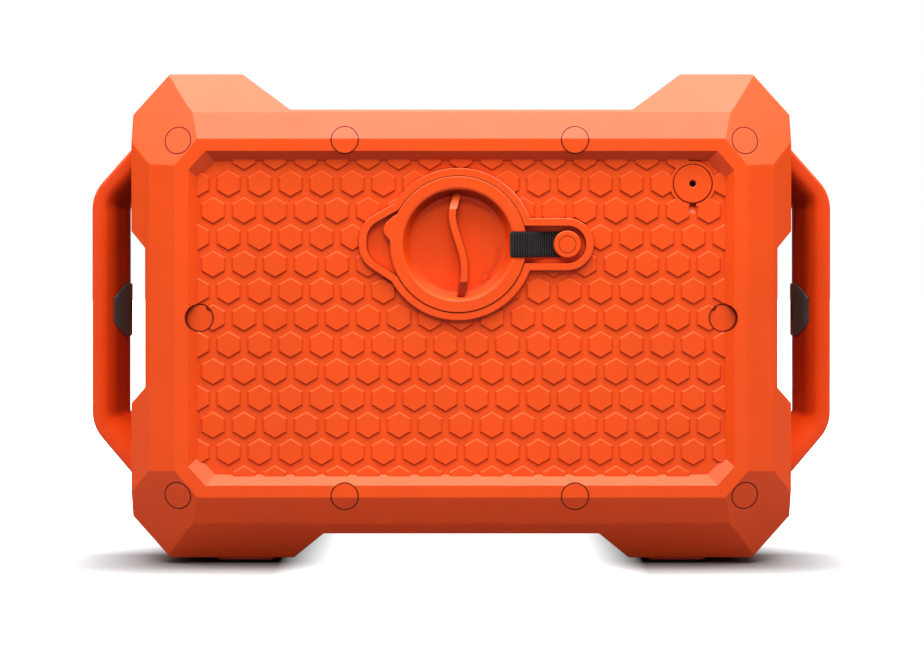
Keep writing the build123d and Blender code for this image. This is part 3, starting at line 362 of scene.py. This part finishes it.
def cone_mat():
    m = Mat("cone_paper")
    fib = m.noise(700.0, 6.0, 0.75, 0.6)
    base = m.mix(m.mapr(fib, 0.35, 0.65, 0, 1), (0.012, 0.012, 0.013), (0.045, 0.045, 0.047))
    nrm = m.bump(fib, 0.7, 0.00006)
    m.set(Base_Color=base, Roughness=0.62, Normal=nrm)
    return m.m


cone_m = cone_mat()


def cloth(name, colour, scale=900.0, rough=0.8):
    m = Mat(name)
    w1, w2 = m.wave(scale, "X"), m.wave(scale, "Z")
    h = m.math("MULTIPLY", w1, w2)
    base = m.mix(m.mapr(h, 0.0, 1.0, 0, 1), tuple(c * 0.55 for c in colour), colour)
    base = m.mix(m.mapr(m.noise(160.0, 4.0), 0.3, 0.7, 0, 0.4), base, tuple(c * 0.7 for c in colour))
    m.set(Base_Color=base, Roughness=rough, Normal=m.bump(h, 0.6, 0.0001))
    m.b.inputs["Sheen Weight"].default_value = 0.2
    return m.m


spider_m = cloth("spider_cloth", (0.50, 0.33, 0.12), 350.0)
membrane_m = cloth("membrane", (0.012, 0.008, 0.007), 600.0)


def board_mat():
    m = Mat("board_green")
    tr = m.wave(260.0, "X", 6.0, dscale=2.0)
    tr = m.mapr(tr, 0.45, 0.55, 0, 1)
    base = m.mix(tr, (0.012, 0.085, 0.035), (0.02, 0.14, 0.06))
    pads = m.mapr(m.voronoi(240.0), 0.06, 0.09, 1.0, 0.0)
    base = m.mix(pads, base, (0.55, 0.5, 0.4))
    m.set(Base_Color=base, Roughness=m.mapr(pads, 0, 1, 0.35, 0.25), Normal=m.bump(tr, 0.4, 0.00003))
    m.b.inputs["Metallic"].default_value = 0.0
    return m.m


board_m = board_mat()


def wrap_mat():
    m = Mat("battery_wrap")
    base = m.mix(m.mapr(m.noise(30.0, 5.0, 0.6), 0.35, 0.65, 0, 1), (0.01, 0.03, 0.10), (0.02, 0.05, 0.16))
    wr = m.noise(90.0, 5.0, 0.6, 1.5)
    m.set(Base_Color=base, Roughness=m.mapr(wr, 0.3, 0.7, 0.2, 0.42), Normal=m.bump(wr, 0.5, 0.0004))
    return m.m


wrap_m = wrap_mat()
wire_m = moulded("wire_red", (0.36, 0.02, 0.015), rough=0.4, grain=1500, edge_wear_and_sheen=0.0)


def lcd_glass():
    m = Mat("display_glass")
    smear = m.noise(60.0, 4.0, 0.6, 0.8)
    m.set(Base_Color=m.mix(smear, (0.55, 0.60, 0.58), (0.7, 0.74, 0.72)), Roughness=m.mapr(smear, 0.3, 0.7, 0.03, 0.09),
          Normal=m.bump(m.noise(25.0, 2.0), 0.05, 0.0002))
    m.b.inputs["Transmission Weight"].default_value = 0.92
    m.b.inputs["IOR"].default_value = 1.45
    return m.m


glass_m = lcd_glass()


def lcd_mat():
    m = Mat("display")
    dots = m.math("MULTIPLY", m.wave(900.0, "X"), m.wave(900.0, "Y"))
    base = m.mix(m.mapr(dots, 0.2, 0.8, 0, 1), (0.10, 0.135, 0.105), (0.145, 0.185, 0.145))
    base = m.mix(m.mapr(m.noise(20.0, 3.0), 0.3, 0.7, 0, 0.3), base, (0.09, 0.12, 0.095))
    m.set(Base_Color=base, Roughness=0.28, Normal=m.bump(dots, 0.2, 0.00002))
    return m.m


lcd_m = lcd_mat()

SLOT_MAT = {
    "orange_plastic": orange, "orange_handle": orange_h, "black_rubber": rub, "dark_metal": dark_metal, "zinc_steel": zinc,
    "grille_metal": grille_m, "black_plastic": black_p, "gloss_black": gloss_b, "cone_black": cone_m, "ferrite": ferrite,
    "copper": copper, "spider_cloth": spider_m, "dome_alu": alu, "heat_alu": alu, "board_green": board_m, "battery_wrap": wrap_m,
    "wire_red": wire_m, "display_glass": glass_m, "display": lcd_m, "membrane": membrane_m, "key_rubber": key_rub, "nickel": nickel,
    "black_webbing": rub,
}
for sp in frame["record"]["subparts"]:
    o = N[sp["node"]]
    mat = black_steel if sp["node"] in ("front_screws", "small_screws") else SLOT_MAT[sp["material_slot"]]
    me = o.data
    me.materials.clear()
    me.materials.append(mat)
    for p in me.polygons:
        p.material_index = 0


# the opener inserts are die castings with soft edges
for nm in ("bottle_opener_left", "bottle_opener_right"):
    o = N[nm]
    r = o.modifiers.new("cast", "REMESH")
    r.mode = "VOXEL"
    r.voxel_size = 0.00045
    r.use_smooth_shade = True
    q = o.modifiers.new("soft", "SMOOTH")
    q.factor = 0.6
    q.iterations = 24


# ---------------------------------------------------------------- mesh helpers
def make(name, verts, faces, mat, smooth=True):
    me = bpy.data.meshes.new(name)
    me.from_pydata([tuple(v) for v in verts], [], faces)
    me.validate()
    me.materials.append(mat)
    if smooth:
        for p in me.polygons:
            p.use_smooth = True
    o = bpy.data.objects.new(name, me)
    sc.collection.objects.link(o)
    return o


# ---------------------------------------------------------------- tether webbing
def polyline_length(pts):
    return sum((b - a).length for a, b in zip(pts, pts[1:]))


def resample(pts, step):
    out, left = [pts[0].copy()], step
    for a, b in zip(pts, pts[1:]):
        seg = (b - a).length
        pos = 0.0
        while seg - pos >= left:
            pos += left
            out.append(a.lerp(b, pos / seg))
            left = step
        left -= seg - pos
    if (out[-1] - pts[-1]).length > step * 0.3:
        out.append(pts[-1].copy())
    return out


def smooth_line(pts, rounds):
    for _ in range(rounds):
        new = [pts[0]]
        for a, b in zip(pts, pts[1:]):
            new += [a.lerp(b, 0.25), a.lerp(b, 0.75)]
        new.append(pts[-1])
        pts = new
    return pts


def webbing_mat():
    m = Mat("black_webbing")
    v = m.nt.nodes.new("ShaderNodeMapping")
    v.inputs["Scale"].default_value = (1, 1, 1)
    m.link(m.co, v.inputs["Vector"])
    yarn = m.wave(720.0, "Z", 1.2, co=v.outputs[0], dscale=3.0)
    fibre = m.noise(5200.0, 5.0, 0.75, 0.8)
    h = m.math("ADD", m.math("MULTIPLY", yarn, 0.7), m.math("MULTIPLY", fibre, 0.6))
    base = m.mix(m.mapr(h, 0.2, 1.0, 0, 1), (0.008, 0.007, 0.007), (0.085, 0.078, 0.074))
    fuzz = m.mapr(m.noise(900.0, 4.0, 0.7), 0.58, 0.75, 0.0, 0.35)
    base = m.mix(fuzz, base, (0.10, 0.09, 0.085))
    # painted shade: darker in the valleys between the ribs, from the rib attribute
    rib = m.nt.nodes.new("ShaderNodeAttribute")
    rib.attribute_name = "rib"
    base = m.mix(m.mapr(rib.outputs["Fac"], 0.42, 1.0, 1.0, 0.0), base, (0.0015, 0.0012, 0.0012))
    # painted shade: darker in the creases, from ambient occlusion
    ao = m.nt.nodes.new("ShaderNodeAmbientOcclusion")
    ao.inputs["Distance"].default_value = 0.0007
    ao.samples = 6
    base = m.mix(m.mapr(ao.outputs["AO"], 0.35, 0.85, 1.0, 0.0), base, (0.0025, 0.002, 0.002))
    m.set(Base_Color=base, Roughness=0.82, Normal=m.bump(h, 0.8, 0.00012))
    m.b.inputs["Specular IOR Level"].default_value = 0.3
    m.b.inputs["Sheen Weight"].default_value = 0.25
    m.b.inputs["Sheen Roughness"].default_value = 0.4
    return m.m


def webbing():
    # centre line of the webbing: (x from the cap's centre, depth), millimetres
    under = [(-29.95, 4.5), (-29.95, 3.0), (-30.3, 2.1), (-31.2, 1.55), (-37.6, 1.55), (-39.2, 1.9),
             (-45.5, 5.9), (-47.2, 6.5), (-67.6, 6.5)]
    n = len(under)
    mid = []
    for i in range(n):
        a, b = under[max(i - 1, 0)], under[min(i + 1, n - 1)]
        dx, dd = b[0] - a[0], b[1] - a[1]
        L = math.hypot(dx, dd)
        mid.append((under[i][0] - dd / L * 0.62, under[i][1] + dx / L * 0.62))
    pts = [Vector((1.7 + x, d, 0)) for x, d in mid]
    pts = smooth_line(pts, 2)
    pts = resample(pts, 0.16)
    NW, half, thick = 36, 7.05, 0.42
    rows = []
    s = 0.0
    for i, p in enumerate(pts):
        if i:
            s += (p - pts[i - 1]).length
        a, b = pts[max(i - 1, 0)], pts[min(i + 1, len(pts) - 1)]
        t = (b - a).normalized()
        nrm = Vector((t.y, -t.x, 0)) * -1.0          # towards smaller depth
        if nrm.y > 0 and abs(t.x) > 0.3:
            nrm = -nrm
        rows.append((p, nrm, s))
    verts, faces, ribv = [], [], []
    # closed section: top side from edge to edge, then the under side back
    sec = []
    for j in range(NW + 1):
        u = -1 + 2 * j / NW
        sec.append((u, 1))
    for j in range(NW + 1):
        u = 1 - 2 * j / NW
        sec.append((u, -1))
    M = len(sec)
    pitch = 1.36
    for (p, nrm, s) in rows:
        ph = 2 * math.pi * s / pitch
        for (u, side) in sec:
            au = abs(u)
            edge = 1.0 - max(0.0, (au - 0.86) / 0.14) ** 2 * 0.75
            ribs = 0.5 + 0.5 * math.cos(ph + (0.5 * math.sin(au * 9.0)))
            ribs = ribs ** 0.6
            # yarns lie over each other in pairs across the width
            yarn = 0.5 + 0.5 * math.cos(u * half * 2 * math.pi / 0.95 + (math.pi if int(s / pitch) % 2 else 0.0))
            sel = 1.0 if au > 0.88 else 0.0
            h = thick * edge + (0.34 * ribs + 0.07 * yarn * ribs) * (1.0 - 0.6 * sel) - 0.20
            wob = 0.12 * math.cos(ph) * (au > 0.97)
            q = p + nrm * (side * h)
            w = (u * half + math.copysign(wob, u))
            # the end is cut round, inside the button
            back = 1.7 - 60.8 - q.x
            if back > 0:
                w = math.copysign(min(abs(w), math.sqrt(max(7.0 ** 2 - back * back, 0.5))), w)
            verts.append(P(q.x, q.y, 41.0 + w))
            ribv.append(ribs * (0.55 + 0.45 * yarn))
    R = len(rows)
    for i in range(R - 1):
        for k in range(M):
            k2 = (k + 1) % M
            faces.append((i * M + k, i * M + k2, (i + 1) * M + k2, (i + 1) * M + k))
    faces.append(tuple(range(M))[::-1])
    faces.append(tuple(range((R - 1) * M, R * M)))
    o = make("tether_webbing", verts, faces, webbing_mat())
    at = o.data.attributes.new("rib", "FLOAT", "POINT")
    at.data.foreach_set("value", ribv)
    bm = bmesh.new()
    bm.from_mesh(o.data)
    bmesh.ops.recalc_face_normals(bm, faces=bm.faces)
    bm.to_mesh(o.data)
    bm.free()
    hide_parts("tether_strap")
    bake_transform(o)
    return o


webbing()


# ---------------------------------------------------------------- symbols
def prism(bm, outline, z0, z1, cx, cy):
    """A flat shape with a softened top edge."""
    n = len(outline)
    area = sum(outline[i][0] * outline[(i + 1) % n][1] - outline[(i + 1) % n][0] * outline[i][1] for i in range(n))
    if area < 0:
        outline = outline[::-1]
    k = 0.06
    inner = []
    for i in range(n):
        a, b, c = Vector(outline[i - 1]), Vector(outline[i]), Vector(outline[(i + 1) % n])
        e1, e2 = (b - a).normalized(), (c - b).normalized()
        n1, n2 = Vector((-e1.y, e1.x)), Vector((-e2.y, e2.x))
        m = (n1 + n2)
        m = m / max(m.length_squared, 0.5) * 2.0 * 0.5 if m.length > 1e-6 else n1
        inner.append(b + m * k * 2)
    rings = []
    for pts, z in ((outline, z0), (outline, z1 - k), (inner, z1)):
        rings.append([bm.verts.new(((cx + p[0]) / 1000, (cy + p[1]) / 1000, z / 1000)) for p in pts])
    for a, b in zip(rings, rings[1:]):
        for i in range(n):
            bm.faces.new((a[i], a[(i + 1) % n], b[(i + 1) % n], b[i]))
    caps = [bm.faces.new(rings[-1]), bm.faces.new(rings[0][::-1])]
    bmesh.ops.triangulate(bm, faces=caps)


def ring_pts(r0, r1, a0, a1, n):
    out = []
    for i in range(n + 1):
        a = math.radians(a0 + (a1 - a0) * i / n)
        out.append((r1 * math.cos(a), r1 * math.sin(a)))
    for i in range(n + 1):
        a = math.radians(a1 + (a0 - a1) * i / n)
        out.append((r0 * math.cos(a), r0 * math.sin(a)))
    return out


def bar(x0, x1, y0, y1):
    return [(x0, y0), (x1, y0), (x1, y1), (x0, y1)]


def tri(x, w, h, sgn):
    return [(x - sgn * w / 2, -h / 2), (x + sgn * w / 2, 0), (x - sgn * w / 2, h / 2)]


def rot(pts, deg):
    a = math.radians(deg)
    return [(x * math.cos(a) - y * math.sin(a), x * math.sin(a) + y * math.cos(a)) for x, y in pts]


ICONS = {
    "key_power": [ring_pts(2.35, 3.0, 125, 415, 40), bar(-0.33, 0.33, 0.9, 3.5)],
    "key_light": [ring_pts(0.001, 1.45, 0, 359.9, 36)[:37]] + [rot(bar(2.1, 3.4, -0.27, 0.27), a) for a in range(0, 360, 45)],
    "key_mode": [bar(-3.0, 3.0, y - 0.28, y + 0.28) for y in (-1.7, 0, 1.7)] + [ring_pts(0.5, 0.95, 0, 359, 20)],
    "key_prev": [tri(-0.3, 2.3, 3.2, -1), tri(2.0, 2.3, 3.2, -1), bar(-2.3, -1.7, -1.6, 1.6)],
    "key_next": [tri(0.3, 2.3, 3.2, 1), tri(-2.0, 2.3, 3.2, 1), bar(1.7, 2.3, -1.6, 1.6)],
    "key_play": [tri(-1.2, 3.0, 3.8, 1), bar(1.1, 1.75, -1.9, 1.9), bar(2.4, 3.05, -1.9, 1.9)],
    "key_vol_down": [bar(-2.4, 2.4, -0.36, 0.36)],
    "key_vol_up": [bar(-2.4, -0.36, -0.36, 0.36), bar(0.36, 2.4, -0.36, 0.36), bar(-0.36, 0.36, -2.4, 2.4)],
}


def ink_mat(name, colour, rough=0.45):
    m = Mat(name)
    base = m.mix(m.mapr(m.noise(1500.0, 4.0, 0.7), 0.35, 0.65, 0, 1), tuple(c * 0.82 for c in colour), colour)
    scuff = m.mapr(m.noise(420.0, 5.0, 0.75), 0.62, 0.72, 0.0, 0.5)
    base = m.mix(scuff, base, tuple(c * 0.45 for c in colour))
    m.set(Base_Color=base, Roughness=rough, Normal=m.bump(m.noise(2600.0, 3.0), 0.4, 0.00002))
    return m.m


ink = ink_mat("symbol_ink", (0.62, 0.62, 0.60))
for node, shapes in ICONS.items():
    lo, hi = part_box(node)
    cx, cy, zt = (lo.x + hi.x) * 500, (lo.y + hi.y) * 500, hi.z * 1000
    bm = bmesh.new()
    for sh in shapes:
        if node == "key_light" and len(sh) == 37:
            sh = sh[:36]
        prism(bm, sh, zt - 0.15, zt + 0.14, cx, cy)
    bmesh.ops.recalc_face_normals(bm, faces=bm.faces)
    me = bpy.data.meshes.new(node + "_symbol")
    bm.to_mesh(me)
    bm.free()
    me.materials.append(ink)
    o = bpy.data.objects.new(node + "_symbol", me)
    sc.collection.objects.link(o)
    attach(o, [b for b, ns in frame["record"]["behaviour"]["bodies"].items() if node in ns][0])


# ---------------------------------------------------------------- display segments
def display():
    lo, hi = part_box("lcd_module")
    cx, cy, zt = (lo.x + hi.x) * 500, (lo.y + hi.y) * 500, hi.z * 1000
    m = ink_mat("lcd_segments", (0.012, 0.016, 0.013), 0.35)
    bm = bmesh.new()

    def seg(sh, x=0.0, y=0.0):
        prism(bm, [(a + x, b + y) for a, b in sh], zt + 0.01, zt + 0.16, cx, cy)

    # level bars
    for i, h in enumerate((2.2, 3.6, 5.6, 4.4, 6.8, 8.4, 6.2, 4.8, 3.0)):
        k = 0
        while k * 1.15 < h:
            seg(bar(-0.72, 0.72, 0, 0.82), -26.0 + i * 2.0, -7.6 + k * 1.15)
            k += 1
    # seven-segment digits
    def digit(n, x, y, s=1.0):
        on = {0: "abcdef", 1: "bc", 2: "abdeg", 3: "abcdg", 5: "acdfg"}[n]
        w, h, t = 3.6 * s, 3.4 * s, 0.55 * s
        hor = [(-w / 2 + t, -t / 2), (w / 2 - t, -t / 2), (w / 2 - t / 2, 0), (w / 2 - t, t / 2), (-w / 2 + t, t / 2), (-w / 2 + t / 2, 0)]
        ver = [(-t / 2, -h / 2 + t * 0.4), (0, -h / 2), (t / 2, -h / 2 + t * 0.4), (t / 2, h / 2 - t * 0.4), (0, h / 2), (-t / 2, h / 2 - t * 0.4)]
        place = {"a": (hor, 0, h), "g": (hor, 0, 0), "d": (hor, 0, -h), "b": (ver, w / 2, h / 2), "c": (ver, w / 2, -h / 2),
                 "f": (ver, -w / 2, h / 2), "e": (ver, -w / 2, -h / 2)}
        for c in on:
            sh, dx, dy = place[c]
            seg(sh, x + dx, y + dy)
    for n, x in ((1, 0.5), (2, 6.2), (3, 14.2), (0, 19.9)):
        digit(n, x, -1.6)
    for y in (-3.2, 0.2):
        seg(bar(-0.4, 0.4, -0.4, 0.4), 10.2, y)
    # battery, play mark, sound wave
    seg(ring_pts(0, 0, 0, 0, 1)[:0] or bar(-2.6, 2.6, 1.05, 1.35), 24.6, 7.2)
    seg(bar(-2.6, 2.6, -1.35, -1.05), 24.6, 7.2)
    seg(bar(-2.6, -2.3, -1.05, 1.05), 24.6, 7.2)
    seg(bar(2.3, 2.6, -1.05, 1.05), 24.6, 7.2)
    seg(bar(2.6, 3.1, -0.5, 0.5), 24.6, 7.2)
    for i in range(3):
        seg(bar(-0.5, 0.5, -0.75, 0.75), 23.1 + i * 1.4, 7.2)
    seg(tri(0, 2.2, 2.4, 1), -25.6, 7.0)
    for i in range(3):
        seg(rot(ring_pts(1.0 + i * 0.95, 1.35 + i * 0.95, -38, 38, 10), 0), -21.5, 7.0)
    for i in range(12):
        seg(bar(-0.55, 0.55, -0.14, 0.14), -12.5 + i * 2.4, 7.0)
    bmesh.ops.recalc_face_normals(bm, faces=bm.faces)
    me = bpy.data.meshes.new("lcd_segments")
    bm.to_mesh(me)
    bm.free()
    me.materials.append(m)
    o = bpy.data.objects.new("lcd_segments", me)
    sc.collection.objects.link(o)
    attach(o, "root")


display()


# ---------------------------------------------------------------- floor and light
def floor():
    m = Mat("floor")
    lp_ = m.nt.nodes.new("ShaderNodeLightPath")
    grain = m.mapr(m.noise(3.0, 3.0), 0.3, 0.7, 0, 1)
    seen = m.mix(grain, (0.28, 0.285, 0.285), (0.295, 0.30, 0.30))
    m.set(Base_Color=m.mix(lp_.outputs["Is Camera Ray"], (0.21, 0.172, 0.170), seen), Roughness=0.6)
    m.b.inputs["Specular IOR Level"].default_value = 0.1
    # painted light: for camera rays the floor glows white away from the object and in the gap between its feet, where
    # shade would fall; these masks shape the shadow seen round the feet
    dist = m.nt.nodes.new("ShaderNodeVectorMath")
    dist.operation = "LENGTH"
    m.link(m.co, dist.inputs[0])
    xyz = m.nt.nodes.new("ShaderNodeSeparateXYZ")
    m.link(m.co, xyz.inputs[0])
    glow = m.mapr(dist.outputs["Value"], 0.24, 0.42, 0.0, 1.0)
    ay = m.math("ABSOLUTE", xyz.outputs["Y"], 0.0)
    ax = m.math("ABSOLUTE", xyz.outputs["X"], 0.0)
    ahead = m.mapr(ay, 0.088, 0.150, 0.0, 1.0)
    ahead = m.math("MULTIPLY", ahead, ahead)
    between = m.mapr(ax, 0.078, 0.104, 1.0, 0.0)
    aside = m.mapr(ax, 0.160, 0.245, 0.0, 1.0)
    aside = m.math("MULTIPLY", aside, aside)
    middle = m.math("MULTIPLY", m.mapr(ax, 0.150, 0.175, 0.0, 1.0), m.mapr(xyz.outputs["Y"], -0.020, 0.040, 1.0, 0.0))
    glow = m.math("MAXIMUM", glow, m.math("ADD", ahead, m.math("ADD", between, m.math("ADD", aside, middle))))
    m.set(Emission_Color=(1, 1, 1), Emission_Strength=m.math("MULTIPLY", glow, lp_.outputs["Is Camera Ray"]))
    # seen from below, the floor is clear
    out = [n for n in m.nt.nodes if n.type == "OUTPUT_MATERIAL"][0]
    clear = m.nt.nodes.new("ShaderNodeBsdfTransparent")
    geo = m.nt.nodes.new("ShaderNodeNewGeometry")
    two = m.nt.nodes.new("ShaderNodeMixShader")
    m.link(geo.outputs["Backfacing"], two.inputs[0])
    m.link(m.b.outputs[0], two.inputs[1])
    m.link(clear.outputs[0], two.inputs[2])
    m.link(two.outputs[0], out.inputs["Surface"])
    o = make("floor", [(-8, -8, -0.00006), (8, -8, -0.00006), (8, 8, -0.00006), (-8, 8, -0.00006)], [(0, 1, 2, 3)], m.m, False)


floor()
w = bpy.data.worlds.new("world")
sc.world = w
w.use_nodes = True
wn = w.node_tree
wn.nodes.clear()
wo = wn.nodes.new("ShaderNodeOutputWorld")
bg = wn.nodes.new("ShaderNodeBackground")
lp = wn.nodes.new("ShaderNodeLightPath")
# white behind the object, a dim room in its light, dimmer still in its reflections
lev = wn.nodes.new("ShaderNodeMapRange")
lev.inputs["To Min"].default_value = 0.30
lev.inputs["To Max"].default_value = 0.06
wn.links.new(lp.outputs["Is Glossy Ray"], lev.inputs["Value"])
levc = wn.nodes.new("ShaderNodeMath")
levc.operation = "MAXIMUM"
wn.links.new(lev.outputs["Result"], levc.inputs[0])
wn.links.new(lp.outputs["Is Camera Ray"], levc.inputs[1])
wn.links.new(levc.outputs[0], bg.inputs["Strength"])
tint = wn.nodes.new("ShaderNodeMix")
tint.data_type = "RGBA"
tint.inputs["A"].default_value = (1.0, 0.80, 0.78, 1.0)
tint.inputs["B"].default_value = (1, 1, 1, 1)
wn.links.new(lp.outputs["Is Camera Ray"], tint.inputs["Factor"])
wn.links.new(tint.outputs["Result"], bg.inputs["Color"])
wn.links.new(bg.outputs[0], wo.inputs[0])


def area(name, loc, target, sx, sy, power):
    d = bpy.data.lights.new(name, "AREA")
    d.shape = "RECTANGLE"
    d.size, d.size_y = sx, sy
    d.energy = power
    o = bpy.data.objects.new(name, d)
    sc.collection.objects.link(o)
    o.location = loc
    o.rotation_euler = (Vector(target) - Vector(loc)).to_track_quat("-Z", "Y").to_euler()
    return o


area("top", (0, 0.16, 1.35), (0, 0, 0.15), 2.4, 1.8, 68)
for nm, y, pw in (("back_fill", 1.95, 18.9), ("front_fill", -1.95, 26)):
    fill = area(nm, (0, y, 1.45), (0, 0, 0.15), 0.9, 0.4, pw)
    fill.visible_glossy = False
